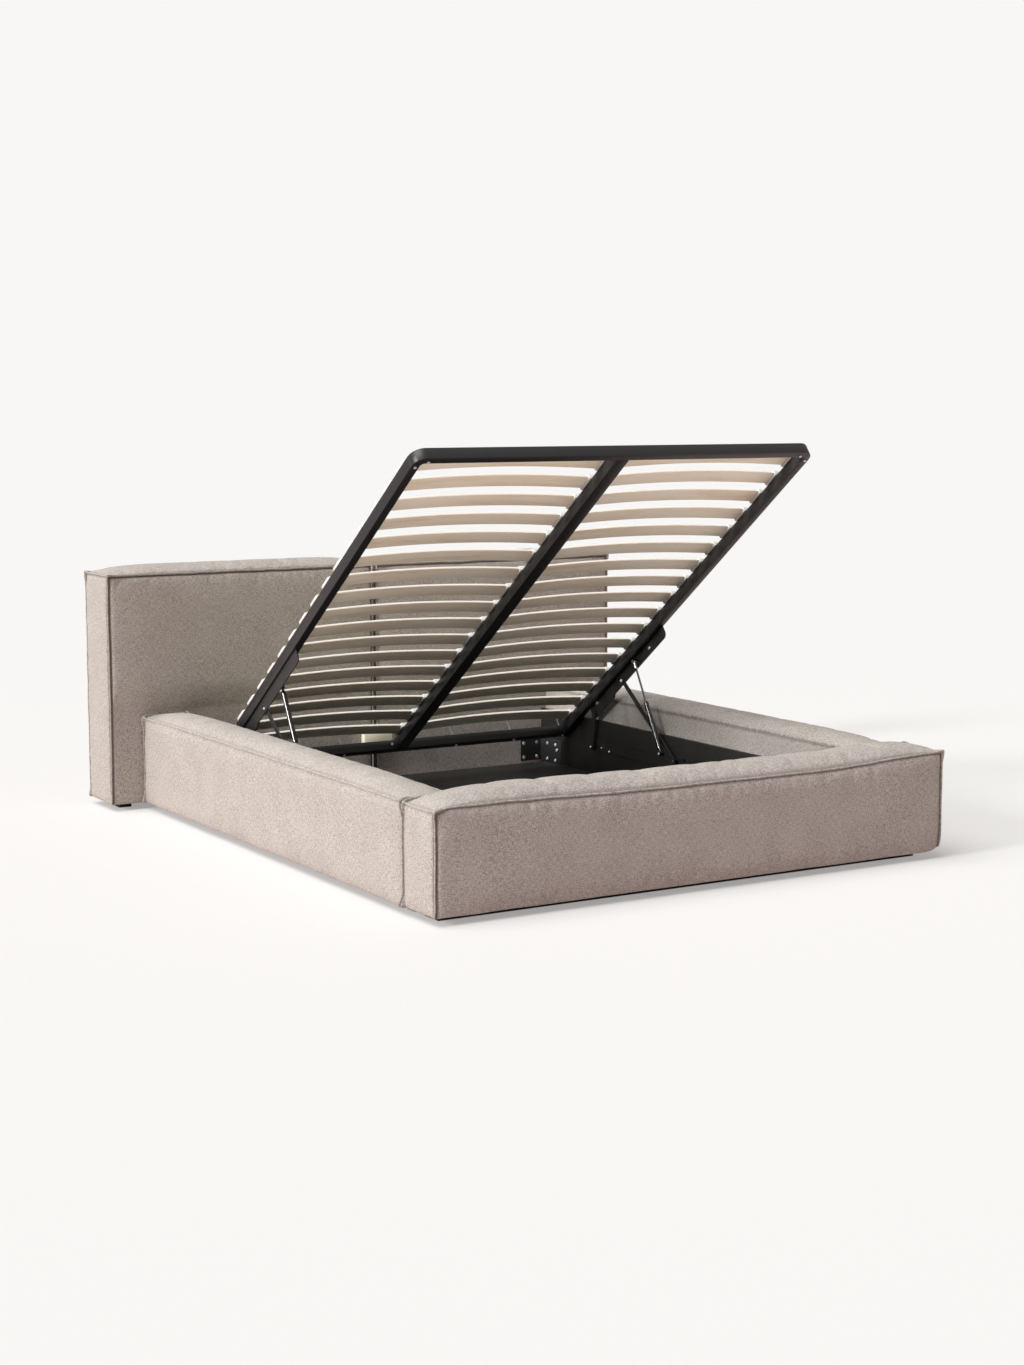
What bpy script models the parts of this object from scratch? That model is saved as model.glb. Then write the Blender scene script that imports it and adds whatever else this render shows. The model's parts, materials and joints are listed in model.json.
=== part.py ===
"""Upholstered storage bed, shown with its slatted base lifted.

Two tall headboard cushions, two side rails and a foot rail stand round a black storage box.
A tubular steel frame with sprung slats swings up over the box on two pairs of steel links,
held by a gas strut on each side. Metres, +Z up, +Y towards the headboard, origin on the floor
under the middle of the bed.
"""
from math import atan2, cos, pi, radians, sin, sqrt

import bmesh
import bpy
from mathutils import Matrix, Vector

# Clearances and cuts
touch = 0.0003
overrun = 0.002
pin_play = 0.0003
sides = (("left", -1), ("right", 1))

# Slatted frame, square steel tube
frame_length = 1.990
frame_width = 1.570
tube_wide = 0.030
tube_high = 0.040
tube_wall = 0.0015
centre_tube_wide = 0.050
foot_corner_radius = 0.045

# Sprung slats in their plastic holders
slat_rows = 17
first_row_from_foot = 0.1103
last_row_from_head = 0.0986
slat_wide = 0.063
slat_thick = 0.008
slat_bow = 0.0165
holder_wide = 0.070
holder_high = 0.020
holder_floor = 0.006
holder_reach = 0.048
centre_holder_reach = 0.046

# Storage box
frame_play = 0.003
board_thick = 0.016
board_top = 0.262
board_bottom = 0.014
floor_top = 0.042
floor_thick = 0.008
floor_end_gap = 0.045
floor_split = 0.004
ledge_wide = 0.025
beam_wide = 0.090
cleat_wide = 0.038
cleat_high = 0.040
head_clear = 0.0375
foot_clear = 0.0375
frame_closed_height = 0.257
cleat_gap = 0.001

# Upholstered modules
ground_gap = 0.025
rail_thick = 0.178
rail_seam_height = 0.3585
rail_crown = 0.020
rail_outer_crown = 0.009
foot_rail_depth = 0.190
foot_crown = 0.026
foot_front_crown = 0.010
foot_end_crown = 0.006
foot_corner_tuck = 0.055
headboard_width = 2.250
headboard_depth = 0.232
headboard_seam_height = 0.886
headboard_split = 0.010
headboard_crown = 0.032
headboard_front_crown = 0.012
headboard_back_crown = 0.006
headboard_side_crown = 0.006
seam_draw = 0.014
seam_dip = 0.008
headboard_rows = 8
flat_fade = 0.120
core_thick = 0.022
core_margin = 0.050
core_top_margin = 0.060
rail_core_inset = 0.082
foot_core_inset = 0.070
headboard_core_inset = 0.090

# Feet
foot_size = 0.050
headboard_foot_side = 0.105
headboard_foot_inset = 0.073
side_foot_inset = 0.078
side_foot_from_end = 0.025
plinth_side = 0.052
plinth_inset = 0.073
plinth_deep = 0.085

# Lift: where the open frame stands, and where its links take hold
open_tilt = radians(37.08)
open_head_back = 0.2091
open_head_height = 0.1676
front_pivot_along = 0.5088
front_pivot_drop = 0.0352
front_pivot_reach = 0.4301
rear_pivot_along = 0.2553
rear_pivot_drop = 0.0361
rear_pivot_reach = 0.1178
strut_top_along = 0.645
strut_top_drop = 0.0247
strut_foot_ahead = 0.0613
strut_foot_up = 0.0221

# Lift hardware
steel_thick = 0.004
bracket_inset = 0.007
bracket_depth = 0.048
bracket_heel_depth = 0.0565
bracket_top_along = 0.865
bracket_step_along = 0.415
bracket_step_long = 0.010
bracket_round = 0.020
bracket_shelf = 0.003
bracket_shelf_wide = 0.021
front_link_wide = 0.020
rear_link_wide = 0.026
pin_radius = 0.005
pin_head_radius = 0.009
pin_head_thick = 0.003
plate_front_reach = 0.050
plate_rear_reach = 0.045
plate_rise = 0.014
clevis_floor_drop = 0.030
clevis_margin = 0.016
clevis_round = 0.012
strut_eye_radius = 0.008
strut_eye_half = 0.007
strut_pin_radius = 0.004
strut_stud_radius = 0.006
strut_spacer = 0.0034
fold_step = 0.0005
cylinder_radius = 0.0092
cylinder_start = 0.022
cylinder_end = 0.2145
cylinder_floor = 0.036
cylinder_neck_radius = 0.0050
rod_radius = 0.0040
rod_length = 0.2050

# Head corner brackets and the middle rest block
corner_plate_thick = 0.003
corner_plate_low = 0.043
corner_plate_high = 0.141
corner_plate_across = 0.100
corner_plate_along = 0.165
block_wide = 0.125
block_thick = 0.030
block_top = 0.222
block_high = 0.060

# Places that follow from the sizes
board_inner = frame_width / 2 + frame_play
board_outer = board_inner + board_thick
rail_inner = board_outer + touch
rail_outer = rail_inner + rail_thick
rail_length = frame_length + head_clear + foot_clear
foot_overhang = foot_rail_depth + foot_front_crown
head_y = (rail_length + foot_overhang - headboard_depth - headboard_back_crown) / 2
foot_y = head_y - rail_length
row_pitch = (frame_length - first_row_from_foot - last_row_from_head) / (slat_rows - 1)


def bed_point(back, height):
    """A point in the bed's middle plane, from its distance before the headboard and its height."""
    return Vector((head_y - back, height))


def frame_point(along, drop, tilt, head_end):
    """A point fixed in the slatted frame, which lies at a tilt with its head end at a point."""
    return head_end + Vector((
        -along * cos(tilt) - drop * sin(tilt),
        along * sin(tilt) - drop * cos(tilt),
    ))


def fixed_pivot(open_point, closed_point, reach):
    """The fixed pivot that is as far from a swinging pin when the bed is open as when it is shut."""
    swing = closed_point - open_point
    across = Vector((-swing.y, swing.x)).normalized()
    return (open_point + closed_point) / 2 - across * reach


def angle_of(start, end):
    """The angle of a link above the +Y direction."""
    return atan2(end.y - start.y, end.x - start.x)


open_head_end = bed_point(open_head_back, open_head_height)
closed_head_end = bed_point(head_clear, frame_closed_height)
front_top = frame_point(front_pivot_along, front_pivot_drop, open_tilt, open_head_end)
front_top_closed = frame_point(front_pivot_along, front_pivot_drop, 0, closed_head_end)
rear_top = frame_point(rear_pivot_along, rear_pivot_drop, open_tilt, open_head_end)
rear_top_closed = frame_point(rear_pivot_along, rear_pivot_drop, 0, closed_head_end)
front_foot = fixed_pivot(front_top, front_top_closed, front_pivot_reach)
rear_foot = fixed_pivot(rear_top, rear_top_closed, rear_pivot_reach)
front_link_length = (front_top - front_foot).length
rear_link_length = (rear_top - rear_foot).length
strut_foot = front_foot + Vector((strut_foot_ahead, strut_foot_up))
strut_top = frame_point(strut_top_along, strut_top_drop, open_tilt, open_head_end)
strut_top_closed = frame_point(strut_top_along, strut_top_drop, 0, closed_head_end)
front_angle = angle_of(front_foot, front_top)
rear_angle = angle_of(rear_foot, rear_top)
strut_angle = angle_of(strut_foot, strut_top)

# Layers across the lift, from the side board inwards
plate_outer = board_inner - touch
plate_inner = plate_outer - steel_thick
flange_outer = frame_width / 2 - bracket_inset
flange_inner = flange_outer - steel_thick
link_outer = flange_inner - touch
link_inner = link_outer - steel_thick
web_outer = link_inner - touch
web_inner = web_outer - steel_thick
strut_middle = web_inner - strut_spacer - strut_eye_half


def clear_scene():
    """Start from an empty file."""
    for old in list(bpy.data.objects):
        bpy.data.objects.remove(old, do_unlink=True)


def material(name, colour, roughness, metallic=0.0):
    """A plain Principled material."""
    made = bpy.data.materials.new(name)
    made.use_nodes = True
    shader = made.node_tree.nodes["Principled BSDF"]
    shader.inputs["Base Color"].default_value = (*colour, 1)
    shader.inputs["Roughness"].default_value = roughness
    shader.inputs["Metallic"].default_value = metallic
    return made


def axis_empty(name, point, turn=0.0):
    """An empty on a joint axis, which runs along X through a point of the middle plane."""
    empty = bpy.data.objects.new(name, None)
    empty.location = (0, point.x, point.y)
    empty.rotation_euler = (turn, 0, 0)
    bpy.context.scene.collection.objects.link(empty)
    return empty


def add_piece(name, bm, finish, carrier=None, rounded=False):
    """Turn a bmesh into a named object, on its carrier if it moves."""
    bmesh.ops.recalc_face_normals(bm, faces=bm.faces)
    mesh = bpy.data.meshes.new(name)
    bm.to_mesh(mesh)
    bm.free()
    mesh.materials.append(finish)
    if rounded:
        mesh.shade_smooth()
        mesh.set_sharp_from_angle(angle=radians(40))
    piece = bpy.data.objects.new(name, mesh)
    piece.parent = carrier
    bpy.context.scene.collection.objects.link(piece)
    return piece


def shape_with(piece, operation, bm):
    """Join a shape to a piece, or cut it out, and keep the shape as a hidden wire guide."""
    guide = add_piece(piece.name + "_" + operation.lower(), bm, piece.data.materials[0], piece.parent)
    guide.hide_render = True
    guide.display_type = "WIRE"
    modifier = piece.modifiers.new(guide.name, "BOOLEAN")
    modifier.operation = operation
    modifier.object = guide


def box_shape(low, high, bm=None):
    """A box between two corners."""
    bm = bm or bmesh.new()
    low, high = Vector(low), Vector(high)
    place = Matrix.Translation((low + high) / 2) @ Matrix.Diagonal((*(high - low), 1))
    bmesh.ops.create_cube(bm, size=1, matrix=place)
    return bm


def slab_shape(outline, start, end, bm=None):
    """An outline in the Y and Z directions, extruded across the bed."""
    bm = bm or bmesh.new()
    face = bm.faces.new([bm.verts.new((start, y, z)) for y, z in outline])
    swept = bmesh.ops.extrude_face_region(bm, geom=[face])["geom"]
    moved = [item for item in swept if isinstance(item, bmesh.types.BMVert)]
    bmesh.ops.translate(bm, verts=moved, vec=(end - start, 0, 0))
    return bm


def pin_shape(radius, start, end, y=0.0, z=0.0, steps=24, bm=None):
    """A round pin along X between two places."""
    bm = bm or bmesh.new()
    place = Matrix.Translation(((start + end) / 2, y, z)) @ Matrix.Rotation(pi / 2, 4, "Y")
    bmesh.ops.create_cone(
        bm, cap_ends=True, segments=steps, radius1=radius, radius2=radius,
        depth=abs(end - start), matrix=place,
    )
    return bm


def turned_shape(profile, steps=20):
    """A solid turned round the Y axis from points of radius and place, both ends on the axis."""
    bm = bmesh.new()
    points = [bm.verts.new((radius, along, 0)) for radius, along in profile]
    edges = [bm.edges.new(pair) for pair in zip(points, points[1:])]
    bmesh.ops.spin(
        bm, geom=points + edges, axis=(0, 1, 0), cent=(0, 0, 0),
        angle=2 * pi, steps=steps, use_merge=True,
    )
    bmesh.ops.remove_doubles(bm, verts=bm.verts, dist=touch / 10)
    return bm


def arc(centre, radius, start, end, steps=6):
    """Points on an arc, from a start to an end angle."""
    turns = [start + (end - start) * step / steps for step in range(steps + 1)]
    return [(centre[0] + radius * cos(turn), centre[1] + radius * sin(turn)) for turn in turns]


def tube_shape(stations):
    """A hollow rectangular tube through stations, each a place and the direction across the tube."""
    bm = bmesh.new()
    rings = []
    for (x, y), (across_x, across_y), wide in stations:
        for wall in (0, tube_wall):
            half = wide / 2 - wall
            rings.append([
                bm.verts.new((x + across_x * half * side, y + across_y * half * side, height))
                for side, height in (
                    (-1, wall), (1, wall), (1, tube_high - wall), (-1, tube_high - wall),
                )
            ])
    skins = (rings[0::2], rings[1::2])
    for skin in skins:
        for ring, following in zip(skin, skin[1:]):
            for corner in range(4):
                pair = (corner, (corner + 1) % 4)
                bm.faces.new([ring[pair[0]], ring[pair[1]], following[pair[1]], following[pair[0]]])
    for end in (0, -1):
        for corner in range(4):
            pair = (corner, (corner + 1) % 4)
            bm.faces.new([
                skins[0][end][pair[0]], skins[0][end][pair[1]],
                skins[1][end][pair[1]], skins[1][end][pair[0]],
            ])
    return bm


def rise(value, start, length):
    """A smooth step from 0 at the start to 1 a length further on."""
    share = min(max((value - start) / length, 0), 1)
    return share * share * (3 - 2 * share)


def cushion_shape(low, high, cells, crown_low, crown_high, draw_low, draw_high, calm=None):
    """A stuffed box: faces crown outwards, and seams draw in and dip between the corners.

    Crowns and draws are given for the low and the high face of each axis. The calm function
    gives, for an axis, its side and a height, the share of crown and draw that is left where
    the cushion presses on a neighbour.
    """
    bm = bmesh.new()
    bmesh.ops.create_cube(bm, size=1)
    for axis, count in enumerate(cells):
        along = [
            edge for edge in bm.edges
            if abs(edge.verts[0].co[axis] - edge.verts[1].co[axis]) > 0.9
        ]
        bmesh.ops.subdivide_edges(bm, edges=along, cuts=count - 1, use_grid_fill=True)
    low, high = Vector(low), Vector(high)
    middle, half = (low + high) / 2, (high - low) / 2
    for vert in bm.verts:
        share = vert.co * 2
        place = Vector([middle[axis] + half[axis] * share[axis] for axis in range(3)])
        shift = Vector()
        for axis in range(3):
            side = share[axis]
            first, second = [share[other] ** 2 for other in range(3) if other != axis]
            crown = (crown_low if side < 0 else crown_high)[axis]
            draw = (draw_low if side < 0 else draw_high)[axis]
            left = calm(axis, side, place.z) if calm else 1
            swell = crown * (1 - first) * (1 - second) if abs(side) > 0.999 else 0
            dip = draw * (first * (1 - second) + second * (1 - first)) * abs(side)
            shift[axis] = (swell - dip) * left * (1 if side > 0 else -1)
        vert.co = place + shift
    return bm


fabric = material("taupe_weave", (0.42, 0.36, 0.32), 0.95)
timber = material("pine_core", (0.62, 0.46, 0.28), 0.7)
board = material("black_board", (0.016, 0.016, 0.017), 0.6)
steel = material("black_powder_coat", (0.022, 0.022, 0.024), 0.45)
chrome = material("chrome_rod", (0.8, 0.8, 0.82), 0.12, 1.0)
birch = material("birch_slat", (0.72, 0.6, 0.44), 0.5)
foot_plastic = material("black_plastic", (0.02, 0.02, 0.02), 0.55)


def add_core(name, low, high):
    """A timber core that stands in a pocket under its cushion."""
    return add_piece(name, box_shape(low, high), timber)


def cut_pocket(cushion, low, high):
    """The pocket for a core, open underneath."""
    gap = Vector((touch, touch, touch))
    pocket_low = Vector(low) - gap - Vector((0, 0, overrun))
    shape_with(cushion, "DIFFERENCE", box_shape(pocket_low, Vector(high) + gap))


def build_headboard():
    """Two tall cushions side by side, each round its own timber core and on its own foot."""
    back_plane = head_y + headboard_depth
    row_high = (headboard_seam_height - ground_gap) / headboard_rows

    def calm(axis, side, height):
        if axis == 1 and side < 0:
            return rise(height, rail_seam_height + row_high, flat_fade)
        return 1

    for name, side in sides:
        inner, outer = headboard_split / 2, headboard_width / 2 - headboard_side_crown
        span = sorted((side * inner, side * outer))
        crown_low = [0, headboard_front_crown, 0]
        crown_high = [0, headboard_back_crown, headboard_crown]
        (crown_low if side < 0 else crown_high)[0] = headboard_side_crown
        draw_low = [seam_draw if side < 0 else 0, 0, 0]
        draw_high = [seam_draw if side > 0 else 0, seam_draw / 2, 0]
        cushion = add_piece(
            "headboard_" + name,
            cushion_shape(
                (span[0], head_y, ground_gap), (span[1], back_plane, headboard_seam_height),
                (8, 3, headboard_rows), crown_low, crown_high, draw_low, draw_high, calm,
            ),
            fabric, rounded=True,
        )
        core_span = sorted((side * (inner + core_margin), side * (outer - core_margin)))
        core_low = (core_span[0], head_y + headboard_core_inset, ground_gap)
        core_high = (
            core_span[1], head_y + headboard_core_inset + core_thick,
            headboard_seam_height - core_top_margin,
        )
        cut_pocket(cushion, core_low, core_high)
        add_core("headboard_core_" + name, core_low, core_high)
        foot_outer = outer - headboard_foot_side + foot_size
        foot_x = sorted((side * (foot_outer - foot_size), side * foot_outer))
        foot_low_y = head_y + headboard_foot_inset
        add_piece(
            "headboard_foot_" + name,
            box_shape((foot_x[0], foot_low_y, 0), (foot_x[1], foot_low_y + foot_size, ground_gap - touch)),
            foot_plastic,
        )


def build_side_rails():
    """A long cushion down each side, round a timber core that stands on a foot near its foot end."""
    for name, side in sides:
        span = sorted((side * rail_inner, side * rail_outer))
        crowns = {side: rail_outer_crown, -side: 0}
        draws = {side: seam_draw, -side: 0}
        cushion = add_piece(
            "side_rail_" + name,
            cushion_shape(
                (span[0], foot_y + touch, ground_gap), (span[1], head_y - touch, rail_seam_height),
                (3, 16, 4), (crowns[-1], 0, 0), (crowns[1], 0, rail_crown),
                (draws[-1], 0, 0), (draws[1], 0, seam_dip),
            ),
            fabric, rounded=True,
        )
        core_inner = rail_inner + rail_core_inset
        core_span = sorted((side * core_inner, side * (core_inner + core_thick)))
        core_low = (core_span[0], foot_y + core_margin, ground_gap)
        core_high = (core_span[1], head_y - core_margin, rail_seam_height - core_top_margin)
        cut_pocket(cushion, core_low, core_high)
        add_core("side_rail_core_" + name, core_low, core_high)
        foot_inner = rail_inner + side_foot_inset
        foot_x = sorted((side * foot_inner, side * (foot_inner + foot_size)))
        foot_low_y = foot_y + side_foot_from_end
        add_piece(
            "side_foot_" + name,
            box_shape((foot_x[0], foot_low_y, 0), (foot_x[1], foot_low_y + foot_size, ground_gap - touch)),
            foot_plastic,
        )


def build_foot_rail():
    """The full-width foot cushion on its recessed plinth, with one lower corner tucked round."""
    low = (-rail_outer, foot_y - foot_rail_depth, ground_gap)
    high = (rail_outer, foot_y - touch, rail_seam_height)
    shape = cushion_shape(
        low, high, (16, 3, 4),
        (foot_end_crown, foot_front_crown, 0), (foot_end_crown, 0, foot_crown),
        (0, 0, 0), (0, 0, seam_dip),
    )
    for vert in shape.verts:
        out = (vert.co.x - (rail_outer - foot_corner_tuck)) / foot_corner_tuck
        down = (ground_gap + foot_corner_tuck - vert.co.z) / foot_corner_tuck
        if out > 0 and down > 0:
            vert.co.x -= out * (1 - sqrt(1 - min(down, 1) ** 2 / 2)) * foot_corner_tuck
            vert.co.z += down * (1 - sqrt(1 - min(out, 1) ** 2 / 2)) * foot_corner_tuck
    cushion = add_piece("foot_rail", shape, fabric, rounded=True)
    core_y = foot_y - foot_core_inset
    core_reach = rail_outer - core_margin - foot_corner_tuck
    core_low = (-core_reach, core_y - core_thick, ground_gap)
    core_high = (core_reach, core_y, rail_seam_height - core_top_margin)
    cut_pocket(cushion, core_low, core_high)
    add_core("foot_rail_core", core_low, core_high)
    plinth_front = foot_y - foot_rail_depth + plinth_inset
    reach = rail_outer - plinth_side
    add_piece(
        "foot_plinth",
        box_shape((-reach, plinth_front, 0), (reach, plinth_front + plinth_deep, ground_gap - touch)),
        board,
    )


def build_box():
    """Black boards down both sides and across the foot, ledges, a split floor and its middle beam."""
    board_head = head_y - touch
    board_foot = foot_y + touch
    foot_board_inner = board_foot + board_thick
    floor_low = floor_top - floor_thick
    ledge_top = floor_low - touch
    floor_head = head_y - floor_end_gap
    floor_foot = foot_board_inner + touch
    for name, side in sides:
        span = sorted((side * board_inner, side * board_outer))
        add_piece(
            "side_board_" + name,
            box_shape((span[0], board_foot, board_bottom), (span[1], board_head, board_top)), board,
        )
        ledge = sorted((side * (board_inner - touch), side * (board_inner - touch - ledge_wide)))
        add_piece(
            "floor_ledge_" + name,
            box_shape((ledge[0], floor_foot, board_bottom), (ledge[1], floor_head, ledge_top)), timber,
        )
        panel = sorted((side * floor_split / 2, side * (board_inner - touch)))
        add_piece(
            "floor_panel_" + name,
            box_shape((panel[0], floor_foot, floor_low), (panel[1], floor_head, floor_top)), board,
        )
    cleat_top = frame_closed_height - cleat_gap
    outline = (
        (board_foot, board_bottom), (foot_board_inner, board_bottom),
        (foot_board_inner, cleat_top - cleat_high),
        (foot_board_inner + cleat_wide, cleat_top - cleat_high),
        (foot_board_inner + cleat_wide, cleat_top), (board_foot, cleat_top),
    )
    reach = board_inner - touch
    add_piece("foot_board", slab_shape(outline, -reach, reach), board)
    add_piece(
        "floor_beam",
        box_shape((-beam_wide / 2, floor_foot, 0), (beam_wide / 2, floor_head, ledge_top)), timber,
    )


def build_head_fittings():
    """Steel angles that tie the side boards to the headboard, and the block the head bar meets."""
    outer = board_inner - touch
    back = head_y - touch
    for name, side in sides:
        bm = bmesh.new()
        corner = (side * outer, back)
        thick = corner_plate_thick
        plan = (
            corner, (side * (outer - corner_plate_across), back),
            (side * (outer - corner_plate_across), back - thick),
            (side * (outer - thick), back - thick),
            (side * (outer - thick), back - corner_plate_along),
            (side * outer, back - corner_plate_along),
        )
        face = bm.faces.new([bm.verts.new((x, y, corner_plate_low)) for x, y in plan])
        swept = bmesh.ops.extrude_face_region(bm, geom=[face])["geom"]
        moved = [item for item in swept if isinstance(item, bmesh.types.BMVert)]
        bmesh.ops.translate(bm, verts=moved, vec=(0, 0, corner_plate_high - corner_plate_low))
        add_piece("corner_bracket_" + name, bm, steel)
    add_piece(
        "rest_block",
        box_shape(
            (-block_wide / 2, back - block_thick, block_top - block_high),
            (block_wide / 2, back, block_top),
        ),
        birch,
    )


def build_lift_plates():
    """A long steel plate on each side board, with the link pins and a clevis for the strut foot."""
    floor = front_foot.y - clevis_floor_drop
    under = floor - steel_thick
    clevis_back = front_foot.x - clevis_margin
    clevis_front = strut_foot.x + clevis_margin
    plate = (
        (front_foot.x - plate_front_reach, under), (rear_foot.x + plate_rear_reach, under),
        (rear_foot.x + plate_rear_reach, front_foot.y + plate_rise),
        (front_foot.x - plate_front_reach, front_foot.y + plate_rise),
    )
    web = (
        (clevis_back, under), (clevis_front, under),
        (strut_foot.x + clevis_round, strut_foot.y + clevis_round),
        (strut_foot.x - clevis_round, strut_foot.y + clevis_round),
        (front_foot.x - clevis_round, front_foot.y + clevis_round),
    )
    head_start = link_inner - touch
    eye_outer = strut_middle + strut_eye_half
    eye_inner = strut_middle - strut_eye_half
    buried = (plate_outer + plate_inner) / 2
    web_middle = (web_outer + web_inner) / 2
    for name, side in sides:
        piece = add_piece(
            "lift_plate_" + name, slab_shape(plate, side * plate_outer, side * plate_inner), steel)
        shape_with(piece, "UNION", slab_shape(web, side * web_outer, side * web_inner))
        across = sorted((side * buried, side * web_middle))
        shape_with(piece, "UNION", box_shape(
            (across[0], clevis_back + fold_step, under + fold_step),
            (across[1], clevis_front - fold_step, floor),
        ))
        shape_with(piece, "UNION", pin_shape(
            pin_radius, side * buried, side * web_middle, front_foot.x, front_foot.y))
        shape_with(piece, "UNION", pin_shape(
            pin_radius, side * buried, side * (head_start - pin_head_thick / 2),
            rear_foot.x, rear_foot.y))
        shape_with(piece, "UNION", pin_shape(
            pin_head_radius, side * head_start, side * (head_start - pin_head_thick),
            rear_foot.x, rear_foot.y))
        for pivot in (front_foot, rear_foot):
            shape_with(piece, "UNION", pin_shape(
                pin_head_radius, side * buried, side * (link_outer + touch), pivot.x, pivot.y))
        shape_with(piece, "UNION", pin_shape(
            strut_stud_radius, side * web_middle, side * (eye_outer + touch),
            strut_foot.x, strut_foot.y))
        shape_with(piece, "UNION", pin_shape(
            strut_pin_radius, side * web_middle, side * (eye_inner - touch - pin_head_thick / 2),
            strut_foot.x, strut_foot.y))
        shape_with(piece, "UNION", pin_shape(
            strut_stud_radius, side * (eye_inner - touch), side * (eye_inner - touch - pin_head_thick),
            strut_foot.x, strut_foot.y))


def link_shape(length, wide, side):
    """A flat link with round ends, from its lower pin at the origin."""
    outline = arc((0, 0), wide / 2, pi * 3 / 2, pi / 2, 10)
    outline += arc((length, 0), wide / 2, pi / 2, -pi / 2, 10)
    return slab_shape(outline, side * link_outer, side * link_inner)


def build_links():
    """The long front link and the short rear link of each side, turned up to the open frame."""
    front_axis = axis_empty("front_link_axis", front_foot, front_angle)
    rear_axis = axis_empty("rear_link_axis", rear_foot, rear_angle)
    hole = pin_radius + pin_play
    for name, side in sides:
        start, end = side * (link_outer + overrun), side * (link_inner - overrun)
        front = add_piece(
            "front_link_" + name, link_shape(front_link_length, front_link_wide, side), steel, front_axis)
        shape_with(front, "DIFFERENCE", pin_shape(hole, start, end))
        shape_with(front, "DIFFERENCE", pin_shape(hole, start, end, front_link_length))
        rear = add_piece(
            "rear_link_" + name, link_shape(rear_link_length, rear_link_wide, side), steel, rear_axis)
        shape_with(rear, "DIFFERENCE", pin_shape(hole, start, end))
        shape_with(rear, "UNION", pin_shape(
            pin_head_radius, side * (link_inner + link_outer) / 2, side * (link_inner - pin_head_thick),
            rear_link_length))


def cylinder_shape(way):
    """The strut's pressure tube from its eye, with the blind bore that the rod slides in."""
    profile = (
        (0, 0), (cylinder_neck_radius, 0), (cylinder_neck_radius, cylinder_start),
        (cylinder_radius, cylinder_start), (cylinder_radius, cylinder_end),
        (rod_radius + pin_play, cylinder_end), (rod_radius + pin_play, cylinder_floor),
        (0, cylinder_floor),
    )
    return turned_shape([(radius, way * along) for radius, along in profile])


def rod_shape(way):
    """The strut's rod from its eye."""
    profile = ((0, 0), (rod_radius, 0), (rod_radius, rod_length), (0, rod_length))
    return turned_shape([(radius, way * along) for radius, along in profile])


def build_struts():
    """A gas strut on each side. The left one stands the other way up, rod down."""
    lower_axis = axis_empty("strut_foot_axis", strut_foot, strut_angle)
    upper_axis = axis_empty("strut_top_axis", strut_top, strut_angle)
    for name, side in sides:
        start, end = side * (strut_middle + strut_eye_half), side * (strut_middle - strut_eye_half)
        lower_is_cylinder = side > 0
        for part_name, axis, way, is_cylinder in (
            ("lower", lower_axis, 1, lower_is_cylinder),
            ("upper", upper_axis, -1, not lower_is_cylinder),
        ):
            shape = cylinder_shape(way) if is_cylinder else rod_shape(way)
            bmesh.ops.translate(shape, verts=shape.verts, vec=(side * strut_middle, 0, 0))
            label = "strut_cylinder_" if is_cylinder else "strut_rod_"
            finish = steel if is_cylinder else chrome
            piece = add_piece(label + name, shape, finish, axis, rounded=True)
            shape_with(piece, "UNION", pin_shape(strut_eye_radius, start, end))
            if part_name == "lower":
                shape_with(piece, "DIFFERENCE", pin_shape(
                    strut_pin_radius + pin_play, start + side * overrun, end - side * overrun))


def frame_local(along, rise_by):
    """Local Y and Z, on the frame's axis, of a point along the frame and above its underside."""
    return front_pivot_along - along, rise_by + front_pivot_drop


def place_in_frame(shape):
    """Move a shape built from the head end, +Y towards the foot, onto the frame's axis."""
    bmesh.ops.scale(shape, vec=(1, -1, 1), verts=shape.verts)
    bmesh.ops.translate(shape, verts=shape.verts, vec=(0, front_pivot_along, front_pivot_drop))
    return shape


def build_frame():
    """Side, centre and head tubes, and the foot tube with its two bent corners."""
    axis = axis_empty("slat_frame_axis", front_top, -open_tilt)
    half = frame_width / 2
    middle_radius = foot_corner_radius - tube_wide / 2
    leg_start = frame_length - foot_corner_radius
    square = ((1, 0), (0, 1))
    head = [((x, tube_wide / 2), square[1], tube_wide) for x in (-half, half)]
    add_piece("head_bar", place_in_frame(tube_shape(head)), steel, axis)
    for name, side in sides:
        x = side * (half - tube_wide / 2)
        run = [((x, along), square[0], tube_wide) for along in (tube_wide + touch, leg_start - touch)]
        add_piece("side_tube_" + name, place_in_frame(tube_shape(run)), steel, axis)
    ends = (tube_wide + touch, frame_length - tube_wide - touch)
    run = [((0, along), square[0], centre_tube_wide) for along in ends]
    add_piece("centre_tube", place_in_frame(tube_shape(run)), steel, axis)
    bend = []
    for side, start, end in ((1, 0, pi / 2), (-1, pi / 2, pi)):
        places = arc((side * (half - foot_corner_radius), leg_start), middle_radius, start, end)
        outward = arc((0, 0), 1, start, end)
        bend += [(place, across, tube_wide) for place, across in zip(places, outward)]
    add_piece("foot_bar", place_in_frame(tube_shape(bend)), steel, axis)
    return axis


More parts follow.
